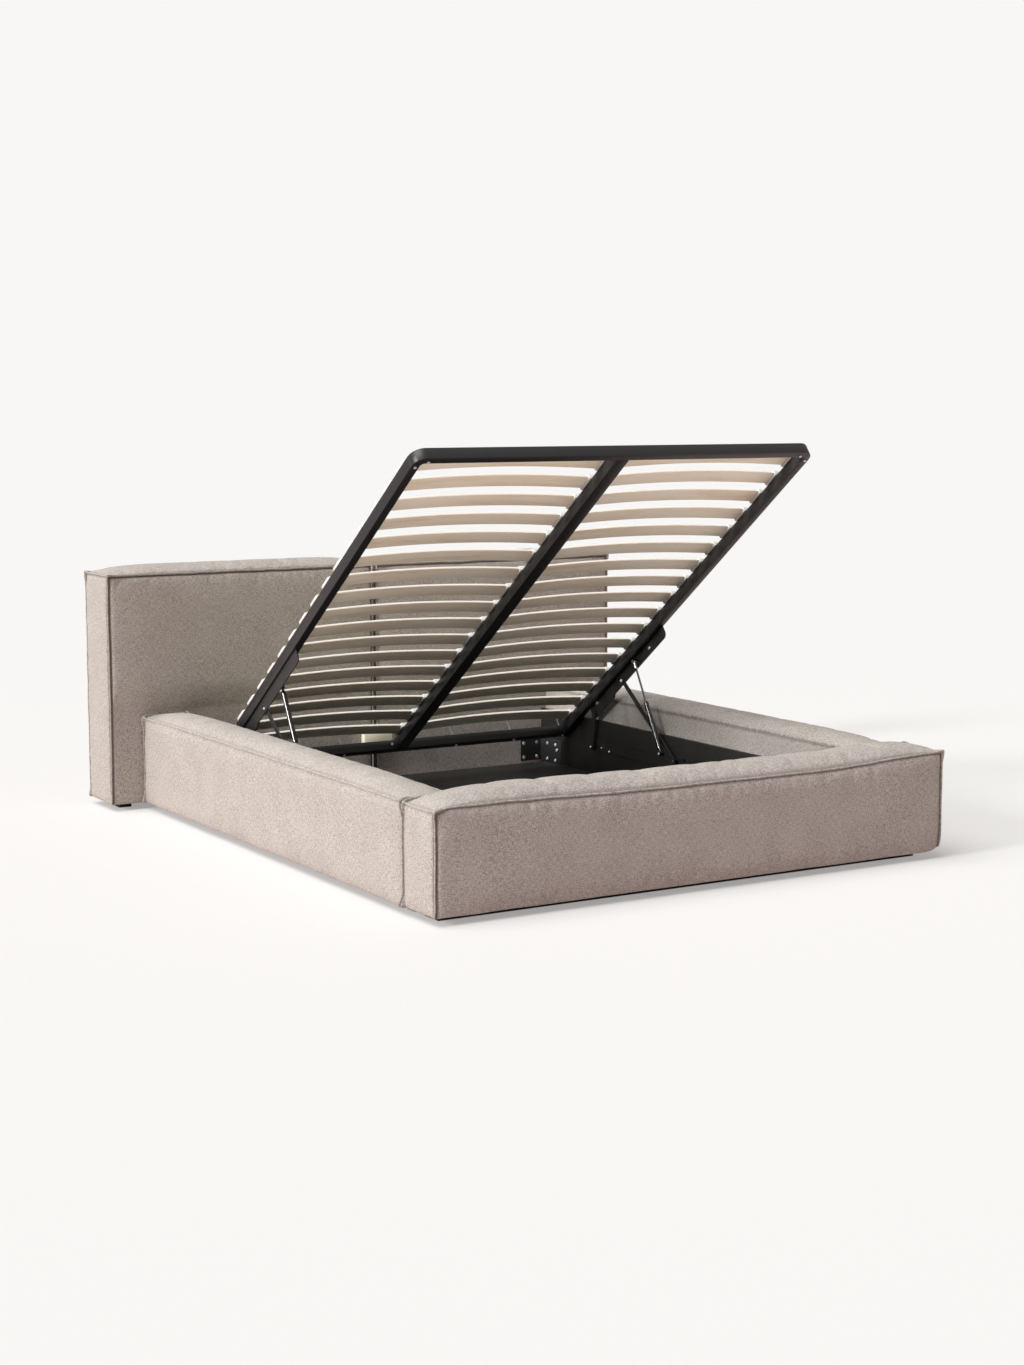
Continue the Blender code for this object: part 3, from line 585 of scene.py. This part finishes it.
# Timber cores, ledges and the beam under the floor: planed pine, never seen in use.
# Pale, with long soft growth rings along each board.
def planed_pine():
    """Pale resinous softwood, planed. Its growth rings are 5 mm apart."""
    made, tree, shader = surface("planed_pine", 0.6)
    place = add(tree, "ShaderNodeTexCoord").outputs["Object"]
    rings = add(tree, "ShaderNodeTexNoise", {
        "Vector": add(tree, "ShaderNodeMapping", {"Vector": place, "Scale": (1.2, 0.06, 0.4)}).outputs[0],
        "Scale": 200.0, "Detail": 2.0})
    ramp = add(tree, "ShaderNodeValToRGB", {"Fac": rings.outputs["Fac"]})
    ramp.color_ramp.elements[0].position = 0.35
    ramp.color_ramp.elements[0].color = (*linear("#B98F5E"), 1)
    ramp.color_ramp.elements[1].position = 0.65
    ramp.color_ramp.elements[1].color = (*linear("#DDBE8E"), 1)
    tree.links.new(ramp.outputs["Color"], shader.inputs["Base Color"])
    bump = add(tree, "ShaderNodeBump", {
        "Height": rings.outputs["Fac"], "Strength": 0.3, "Distance": 0.0003})
    tree.links.new(bump.outputs[0], shader.inputs["Normal"])
    return made


pine = planed_pine()
for name in ("headboard_core", "side_rail_core", "floor_ledge"):
    for side in ("left", "right"):
        keep(name + "_" + side, pine)
for name in ("foot_rail_core", "floor_beam"):
    keep(name, pine)


# Storage box: chipboard with a black melamine skin, and its plinth and split floor.
# The skin is pressed on with a faint pore pattern, and is a little dusty and dull.
def black_melamine():
    """Chipboard faced with printed melamine paper. Its pressed pores are 1 mm wide and 20 mm long."""
    made, tree, shader = surface("black_melamine", 0.5)
    place = add(tree, "ShaderNodeTexCoord").outputs["Object"]
    pores = add(tree, "ShaderNodeTexNoise", {
        "Vector": add(tree, "ShaderNodeMapping", {"Vector": place, "Scale": (1, 0.05, 1)}).outputs[0],
        "Scale": 900.0, "Detail": 2.0})
    dust = add(tree, "ShaderNodeTexNoise", {
        "Vector": place, "Scale": 7.0, "Detail": 5.0, "Roughness": 0.65})
    ramp = add(tree, "ShaderNodeValToRGB", {"Fac": dust.outputs["Fac"]})
    ramp.color_ramp.elements[0].position = 0.35
    ramp.color_ramp.elements[0].color = (*linear("#141413"), 1)
    ramp.color_ramp.elements[1].position = 0.75
    ramp.color_ramp.elements[1].color = (*linear("#201F1E"), 1)
    tree.links.new(ramp.outputs["Color"], shader.inputs["Base Color"])
    rough = add(tree, "ShaderNodeMapRange", {"Value": dust.outputs["Fac"], "To Min": 0.42, "To Max": 0.62})
    tree.links.new(rough.outputs[0], shader.inputs["Roughness"])
    bump = add(tree, "ShaderNodeBump", {
        "Height": pores.outputs["Fac"], "Strength": 0.25, "Distance": 0.0002})
    tree.links.new(bump.outputs[0], shader.inputs["Normal"])
    return made


board_edge = 0.0008
melamine = black_melamine()
for node in ("side_board_left", "side_board_right", "foot_board", "floor_panel_left", "floor_panel_right",
             "foot_plinth"):
    ease(node, board_edge, melamine)


# Feet: short square glides of black polypropylene under the headboard and the side rails.
# Moulded, with drafted edges and the fine grain of a spark-eroded tool.
def moulded_plastic(name, code, roughness):
    """Polypropylene with a spark-eroded grain of 0.8 mm."""
    made, tree, shader = surface(name, roughness)
    shader.inputs["Base Color"].default_value = (*linear(code), 1)
    shader.inputs["IOR"].default_value = 1.49
    place = add(tree, "ShaderNodeTexCoord").outputs["Object"]
    grain = add(tree, "ShaderNodeTexNoise", {"Vector": place, "Scale": 1250.0, "Detail": 1.0})
    bump = add(tree, "ShaderNodeBump", {
        "Height": grain.outputs["Fac"], "Strength": 0.2, "Distance": 0.0002})
    tree.links.new(bump.outputs[0], shader.inputs["Normal"])
    return made


foot_edge = 0.002
black_plastic = moulded_plastic("black_polypropylene", "#161616", 0.5)
for name in ("headboard_foot", "side_foot"):
    for side in ("left", "right"):
        ease(name + "_" + side, foot_edge, black_plastic)


# Steel: tubes, angles, links and plates in black powder coat.
# Baked polyester powder flows to a satin skin with a faint orange peel.
def powder_coat():
    """Black polyester powder on steel. Its orange peel is 1.5 mm across."""
    made, tree, shader = surface("black_powder_coat", 0.4)
    shader.inputs["Base Color"].default_value = (*linear("#1D1D1D"), 1)
    place = add(tree, "ShaderNodeTexCoord").outputs["Object"]
    peel = add(tree, "ShaderNodeTexNoise", {"Vector": place, "Scale": 650.0, "Detail": 1.0})
    film = add(tree, "ShaderNodeTexNoise", {"Vector": place, "Scale": 14.0, "Detail": 4.0})
    rough = add(tree, "ShaderNodeMapRange", {"Value": film.outputs["Fac"], "To Min": 0.34, "To Max": 0.5})
    tree.links.new(rough.outputs[0], shader.inputs["Roughness"])
    bump = add(tree, "ShaderNodeBump", {
        "Height": peel.outputs["Fac"], "Strength": 0.12, "Distance": 0.0003})
    tree.links.new(bump.outputs[0], shader.inputs["Normal"])
    return made


tube_edge = 0.0022
plate_edge = 0.0006
black_steel = powder_coat()
for node in ("head_bar", "side_tube_left", "side_tube_right", "centre_tube", "foot_bar"):
    ease(node, tube_edge, black_steel)
for side in ("left", "right"):
    for name in ("corner_bracket", "front_link"):
        ease(name + "_" + side, plate_edge, black_steel)
    for name in ("rear_link", "frame_bracket", "lift_plate"):
        keep(name + "_" + side, black_steel)


# Gas struts: cylinders in a hard black lacquer, and ground rods in hard chrome.
# The lacquer is so smooth that the lamps draw a bright line along each cylinder.
def black_lacquer():
    """Stoved black lacquer on a drawn tube."""
    made, tree, shader = surface("black_lacquer", 0.1)
    shader.inputs["Base Color"].default_value = (*linear("#111112"), 1)
    shader.inputs["Specular IOR Level"].default_value = 1.0
    place = add(tree, "ShaderNodeTexCoord").outputs["Object"]
    film = add(tree, "ShaderNodeTexNoise", {"Vector": place, "Scale": 160.0, "Detail": 2.0})
    rough = add(tree, "ShaderNodeMapRange", {"Value": film.outputs["Fac"], "To Min": 0.07, "To Max": 0.14})
    tree.links.new(rough.outputs[0], shader.inputs["Roughness"])
    return made


def hard_chrome():
    """Hard chrome on a ground rod."""
    made, tree, shader = surface("hard_chrome", 0.15, 1.0)
    shader.inputs["Base Color"].default_value = (*linear("#8A8C90"), 1)
    place = add(tree, "ShaderNodeTexCoord").outputs["Object"]
    scuffs = add(tree, "ShaderNodeTexNoise", {"Vector": place, "Scale": 60.0, "Detail": 1.0})
    rough = add(tree, "ShaderNodeMapRange", {
        "Value": scuffs.outputs["Fac"], "To Min": 0.12, "To Max": 0.18})
    tree.links.new(rough.outputs[0], shader.inputs["Roughness"])
    return made


lacquer = black_lacquer()
chrome = hard_chrome()
for side in ("left", "right"):
    ease("strut_cylinder_" + side, 0, lacquer)
    ease("strut_rod_" + side, 0, chrome)

# Slatted base: two bowed slats in each row, clipped into plastic holders over the tubes.
# It is built flat, with its head end at the origin and its foot towards -Y, then tilted open.
open_tilt = radians(37.08)
tube_high = 0.040
bar_low, bar_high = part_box("head_bar")
half_wide = bar_high.x
frame_length = 1.990
slat_rows = 17
first_row = 0.0986
last_row = frame_length - 0.1103
row_pitch = (last_row - first_row) / (slat_rows - 1)
tube_gap = 0.0003
slat_wide = 0.063
slat_thick = 0.008
slat_seat = tube_high + tube_gap + 0.006
slat_bow = 0.0165
slat_in_holder = 0.012
slat_in_centre = 0.012
slat_edge = 0.0012
slat_cuts = 23
holder_lip = 0.007
holder_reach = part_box("side_tube_right")[1].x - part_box("side_tube_right")[0].x + holder_lip
centre_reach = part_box("centre_tube")[1].x + holder_lip
holder_wide = 0.070
holder_high = 0.0175
holder_end_wide = 0.060
holder_end_high = 0.011
holder_wall = 0.0028
holder_edge = 0.0015
mouth_share = 0.6
block_edge = 0.002


def tilt_open(bm):
    """Lay a shape built in the flat base onto the open one."""
    head_end = Vector((0, bar_high.y - tube_high * sin(open_tilt), bar_low.z))
    place = Matrix.Translation(head_end) @ Matrix.Rotation(-open_tilt, 4, "X")
    bmesh.ops.transform(bm, matrix=place, verts=bm.verts)


def block(bm, low, high):
    """A box between two corners, and its new corners."""
    low, high = Vector(low), Vector(high)
    place = Matrix.Translation((low + high) / 2) @ Matrix.Diagonal((*(high - low), 1))
    return bmesh.ops.create_cube(bm, size=1, matrix=place)["verts"]


def bowed_slat(bm, start, end, y):
    """A slat from one holder to the next, bowed upwards."""
    slat = bmesh.new()
    block(slat, (start, y - slat_wide / 2, slat_seat), (end, y + slat_wide / 2, slat_seat + slat_thick))
    long_edges = [e for e in slat.edges if abs(e.verts[0].co.x - e.verts[1].co.x) > slat_wide]
    bmesh.ops.bevel(
        slat, geom=long_edges, offset=slat_edge, offset_type="OFFSET", segments=2, profile=0.5,
        affect="EDGES", material=-1,
    )
    long_edges = [e for e in slat.edges if abs(e.verts[0].co.x - e.verts[1].co.x) > slat_wide]
    bmesh.ops.subdivide_edges(slat, edges=long_edges, cuts=slat_cuts, use_grid_fill=True)
    span = abs(end - start)
    for face in slat.faces:
        face.material_index = abs(face.normal.y) > 0.7
    for vert in slat.verts:
        share = abs(vert.co.x - start) / span
        vert.co.z += slat_bow * 4 * share * (1 - share)
    mesh = bpy.data.meshes.new("slat")
    slat.to_mesh(mesh)
    slat.free()
    bm.from_mesh(mesh)
    bpy.data.meshes.remove(mesh)


def birch_face():
    """The outer veneer: pale peeled birch, rosier on some slats. Its pores are 1.4 mm by 40 mm."""
    made, tree, shader = surface("birch_face_veneer", 0.48)
    place = add(tree, "ShaderNodeTexCoord").outputs["Object"]
    flat = add(tree, "ShaderNodeMapping", {"Vector": place, "Rotation": (open_tilt, 0, 0)}).outputs[0]
    pores = add(tree, "ShaderNodeTexNoise", {
        "Vector": add(tree, "ShaderNodeMapping", {"Vector": flat, "Scale": (0.035, 1, 0)}).outputs[0],
        "Scale": 700.0, "Detail": 3.0}).outputs["Fac"]
    figure = add(tree, "ShaderNodeTexNoise", {
        "Vector": add(tree, "ShaderNodeMapping", {"Vector": flat, "Scale": (0.2, 1.6, 0)}).outputs[0],
        "Scale": 11.0, "Detail": 4.0, "Distortion": 0.6}).outputs["Fac"]
    tone = 0.0
    for part, weight in ((pores, 0.3), (figure, 0.8)):
        tone = add(tree, "ShaderNodeMath", {0: part, 1: weight, 2: tone},
                   operation="MULTIPLY_ADD").outputs[0]
    ramp = add(tree, "ShaderNodeValToRGB", {"Fac": tone})
    ramp.color_ramp.elements[0].position = 0.34
    ramp.color_ramp.elements[0].color = (*linear("#ECDDC4"), 1)
    ramp.color_ramp.elements[1].position = 0.76
    ramp.color_ramp.elements[1].color = (*linear("#FFFEF0"), 1)
    middle = ramp.color_ramp.elements.new(0.52)
    middle.color = (*linear("#FFF9E0"), 1)
    tree.links.new(ramp.outputs["Color"], shader.inputs["Base Color"])
    bump = add(tree, "ShaderNodeBump", {"Height": pores, "Strength": 0.25, "Distance": 0.0002})
    tree.links.new(bump.outputs[0], shader.inputs["Normal"])
    return made


def birch_edge():
    """Cut edges of the glued veneers, sanded nearly white. Each veneer is 1.3 mm thick."""
    made, tree, shader = surface("birch_cut_edge", 0.6)
    place = add(tree, "ShaderNodeTexCoord").outputs["Object"]
    flat = add(tree, "ShaderNodeMapping", {"Vector": place, "Rotation": (open_tilt, 0, 0)}).outputs[0]
    plies = add(tree, "ShaderNodeTexWave", {
        "Vector": flat, "Scale": 1 / (0.0013 * 2 * pi), "Distortion": 0.4}, bands_direction="Z")
    ramp = add(tree, "ShaderNodeValToRGB", {"Fac": plies.outputs["Fac"]})
    ramp.color_ramp.elements[0].color = (*linear("#F1E8D8"), 1)
    ramp.color_ramp.elements[1].color = (*linear("#FBF7EF"), 1)
    tree.links.new(ramp.outputs["Color"], shader.inputs["Base Color"])
    return made


def holder(bm, outer, inner, y, mouths):
    """A moulded holder between two places across the base, with a mouth for each slat end."""
    made = bmesh.new()
    corners = block(made, (min(outer, inner), y - holder_wide / 2, tube_high + tube_gap),
                    (max(outer, inner), y + holder_wide / 2, tube_high + tube_gap + holder_high))
    if len(mouths) == 1:
        for vert in corners:
            if abs(vert.co.x - outer) < merge_close:
                vert.co.y = y + (vert.co.y - y) * holder_end_wide / holder_wide
                if vert.co.z > tube_high + holder_high / 2:
                    vert.co.z -= holder_high - holder_end_high
    bmesh.ops.bevel(
        made, geom=list(made.edges), offset=holder_edge, offset_type="OFFSET", segments=2,
        profile=0.5, affect="EDGES", material=-1,
    )
    for mouth in mouths:
        made.faces.ensure_lookup_table()
        front = min(made.faces, key=lambda face: (abs(face.calc_center_median().x - mouth),
                                                  -face.calc_area()))
        bmesh.ops.inset_individual(made, faces=[front], thickness=holder_wall)
        deep = bmesh.ops.extrude_discrete_faces(made, faces=[front])["faces"]
        inward = -1 if mouth > (outer + inner) / 2 else 1
        bmesh.ops.translate(made, verts=deep[0].verts, vec=(inward * mouth_share * holder_reach, 0, 0))
    mesh = bpy.data.meshes.new("holder")
    made.to_mesh(mesh)
    made.free()
    bm.from_mesh(mesh)
    bpy.data.meshes.remove(mesh)


birch = birch_face()
cut_birch = birch_edge()
white_plastic = moulded_plastic("white_polypropylene", "#DCDCD8", 0.42)
for row in range(slat_rows):
    y = -(first_row + row * row_pitch)
    slats = bmesh.new()
    holders = bmesh.new()
    for side in (-1, 1):
        bowed_slat(slats, side * (half_wide - slat_in_holder), side * (centre_reach - slat_in_centre), y)
        holder(holders, side * (half_wide - tube_gap), side * (half_wide - holder_reach), y,
               (side * (half_wide - holder_reach),))
    holder(holders, -centre_reach, centre_reach, y, (-centre_reach, centre_reach))
    for shape in (slats, holders):
        tilt_open(shape)
        bmesh.ops.recalc_face_normals(shape, faces=shape.faces)
    number = "%02d" % (row + 1)
    pair = settle("slats_" + number, slats, birch, "slatted_frame")
    pair.data.materials.append(cut_birch)
    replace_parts(pair, "slat_row_" + number)
    settle("slat_holders_" + number, holders, white_plastic, "slatted_frame")
ease("rest_block", block_edge, birch)


# Fasteners: zinc-plated bolts, with a domed head and a hexagon socket, and long threaded
# bolts that stand up from the head bar. Bright where they are new, with a faint blue cast.
bolt_sides = 18
dome_share = 0.55
socket_wall = 0.12
socket_deep = 0.5
turned_steps = 12
thread_root = 0.82


def zinc_plate():
    """Bright zinc on steel, slightly grey and uneven."""
    made, tree, shader = surface("zinc_plate", 0.3, 1.0)
    place = add(tree, "ShaderNodeTexCoord").outputs["Object"]
    film = add(tree, "ShaderNodeTexNoise", {"Vector": place, "Scale": 300.0, "Detail": 3.0})
    ramp = add(tree, "ShaderNodeValToRGB", {"Fac": film.outputs["Fac"]})
    ramp.color_ramp.elements[0].color = (*linear("#CDD0D3"), 1)
    ramp.color_ramp.elements[1].color = (*linear("#F4F5F6"), 1)
    tree.links.new(ramp.outputs["Color"], shader.inputs["Base Color"])
    rough = add(tree, "ShaderNodeMapRange", {"Value": film.outputs["Fac"], "To Min": 0.2, "To Max": 0.4})
    tree.links.new(rough.outputs[0], shader.inputs["Roughness"])
    return made


def bolt(bm, place, way, radius, high):
    """A domed bolt head that stands on a surface, with its socket."""
    made = bmesh.new()
    bmesh.ops.create_cone(made, cap_ends=True, segments=bolt_sides, radius1=radius, radius2=radius,
                          depth=high, matrix=Matrix.Translation((0, 0, high / 2)))
    rim = [e for e in made.edges if all(v.co.z > high / 2 for v in e.verts)]
    bmesh.ops.bevel(made, geom=rim, offset=high * dome_share, offset_type="OFFSET", segments=3,
                    profile=0.5, affect="EDGES", material=-1)
    top = max(made.faces, key=lambda face: face.calc_center_median().z)
    bmesh.ops.inset_individual(made, faces=[top], thickness=radius * socket_wall)
    deep = bmesh.ops.extrude_discrete_faces(made, faces=[top])["faces"]
    bmesh.ops.translate(made, verts=deep[0].verts, vec=(0, 0, -high * socket_deep))
    turn = Vector(way).to_track_quat("Z", "Y").to_matrix().to_4x4()
    bmesh.ops.transform(made, matrix=Matrix.Translation(Vector(place)) @ turn, verts=made.verts)
    mesh = bpy.data.meshes.new("bolt")
    made.to_mesh(mesh)
    made.free()
    bm.from_mesh(mesh)
    bpy.data.meshes.remove(mesh)


def turned(bm, outline, place):
    """A turned piece from its outline of radii and heights, set in its place."""
    made = bmesh.new()
    line = [made.verts.new((radius, 0, height)) for radius, height in outline]
    edges = [made.edges.new(pair) for pair in zip(line, line[1:])]
    bmesh.ops.spin(made, geom=line + edges, axis=(0, 0, 1), cent=(0, 0, 0), angle=2 * pi,
                   steps=turned_steps, use_merge=True)
    bmesh.ops.remove_doubles(made, verts=made.verts, dist=merge_close)
    bmesh.ops.transform(made, matrix=place, verts=made.verts)
    mesh = bpy.data.meshes.new("turned")
    made.to_mesh(mesh)
    made.free()
    bm.from_mesh(mesh)
    bpy.data.meshes.remove(mesh)


def threaded_bolt(bm, x, y, start, end, radius, pitch):
    """A long bolt through the head bar, with its thread as close rings."""
    outline = [(0, start)]
    for turn in range(round((end - start) / pitch)):
        outline.append((radius * thread_root, start + turn * pitch))
        outline.append((radius, start + (turn + 0.5) * pitch))
    outline.append((0, end))
    turned(bm, outline, Matrix.Translation((x, y, 0)))


zinc = zinc_plate()
pivot = {joint["name"]: Vector(joint["pos_m"]) for joint in frame["joints"] if joint["type"] == "hinge"}

# Bolts of the base: through the corner angles, the lift plates and their pins.
big_bolt = 0.0075
small_bolt = 0.0052
bolt_high = 0.0045
board_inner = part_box("side_board_right")[0].x
head_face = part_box("headboard_right")[0].y + headboard_front
angle_thick = 0.0033
plate_face = board_inner - 0.0043
rear, front, foot = pivot["rear_link_swing"], pivot["lift"], pivot["strut_swing"]
headboard_bolts = ((0.702, 0.117), (0.702, 0.059), (0.766, 0.117), (0.766, 0.059))
board_bolts = ((0.059, 0.120), (0.059, 0.054), (0.122, 0.120), (0.122, 0.054), (0.134, 0.099))
plate_bolts = ((rear.y - 0.053, rear.z + 0.001), (rear.y - 0.111, rear.z - 0.005),
               (front.y + 0.023, front.z - 0.011))
bm = bmesh.new()
for side in (-1, 1):
    for x, z in headboard_bolts:
        bolt(bm, (side * x, head_face - angle_thick, z), (0, -1, 0), big_bolt, bolt_high)
    for before, z in board_bolts:
        bolt(bm, (side * (board_inner - angle_thick), head_face - before, z), (-side, 0, 0),
             big_bolt, bolt_high)
    for y, z in plate_bolts:
        bolt(bm, (side * plate_face, y, z), (-side, 0, 0), small_bolt, bolt_high)
    for place, link in ((front, "front_link_right"), (rear, "rear_link_right"), (foot, "lift_plate_right")):
        bolt(bm, (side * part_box(link)[0].x, place.y, place.z), (-side, 0, 0), small_bolt, bolt_high)
bmesh.ops.recalc_face_normals(bm, faces=bm.faces)
settle("base_bolts", bm, zinc, "bed_base")

# End fittings of the strut rods: a zinc-plated ferrule on each. The right strut stands rod up and
# the left one rod down, so that the two ferrules ride on different bodies.
strut_long = 0.3903
ferrule_radius = 0.0058
ferrule_rounding = 0.0012
ferrule_start = 0.006
ferrule_end = 0.034
stroke = Vector(next(joint["axis"] for joint in frame["joints"] if joint["type"] == "slide"))
for name, place, way, body in (
        ("left", pivot["strut_swing"], stroke, "strut_lower_ends"),
        ("right", pivot["strut_swing"] + stroke * strut_long, -stroke, "strut_upper_ends")):
    low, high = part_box("strut_rod_" + name)
    centre = Vector(((low.x + high.x) / 2, place.y, place.z))
    turn = way.to_track_quat("Z", "Y").to_matrix().to_4x4()
    bm = bmesh.new()
    turned(bm, ((0, ferrule_start), (ferrule_radius - ferrule_rounding, ferrule_start),
                (ferrule_radius, ferrule_start + ferrule_rounding),
                (ferrule_radius, ferrule_end - ferrule_rounding),
                (ferrule_radius - ferrule_rounding, ferrule_end), (0, ferrule_end)),
           Matrix.Translation(centre) @ turn)
    bmesh.ops.recalc_face_normals(bm, faces=bm.faces)
    settle("strut_ferrule_" + name, bm, zinc, body)

# Bolts of the slatted frame, built flat with it: corner bolts under the foot tube, pivot and
# flange bolts on its angles, and six long threaded bolts that stand up from the head bar.
flange_face = half_wide - 0.011
flange_back = half_wide - 0.007
link_face = half_wide - 0.0186
thread_radius = 0.003
thread_pitch = 0.0012
thread_start = tube_high - 0.002
thread_end = tube_high + 0.050
head_bar_middle = 0.015
corner_bolts = ((0.733, -1.967), (0.769, -1.941))
flange_bolts = ((-0.742, -0.027), (-0.296, -0.013))
front_pivot = (-0.5088, -0.0352)
centre_tube_bolt = (0.0375, -0.030, 0.020)
head_bar_bolts = (0.25, 0.52, 0.755)
bm = bmesh.new()
for side in (-1, 1):
    for x, y in corner_bolts:
        bolt(bm, (side * x, y, 0), (0, 0, -1), small_bolt, bolt_high)
    for place in flange_bolts:
        bolt(bm, (side * flange_face, *place), (-side, 0, 0), big_bolt, bolt_high)
    bolt(bm, (side * link_face, *front_pivot), (-side, 0, 0), big_bolt, bolt_high)
    bolt(bm, (side * flange_back, *front_pivot), (side, 0, 0), small_bolt, bolt_high)
    bolt(bm, (side * centre_tube_bolt[0], *centre_tube_bolt[1:]), (0, -1, 0), small_bolt, bolt_high)
    for x in head_bar_bolts:
        bolt(bm, (side * x, -head_bar_middle, 0), (0, 0, -1), small_bolt, bolt_high)
        threaded_bolt(bm, side * x, -head_bar_middle, thread_start, thread_end, thread_radius, thread_pitch)
tilt_open(bm)
bmesh.ops.recalc_face_normals(bm, faces=bm.faces)
settle("frame_bolts", bm, zinc, "slatted_frame")
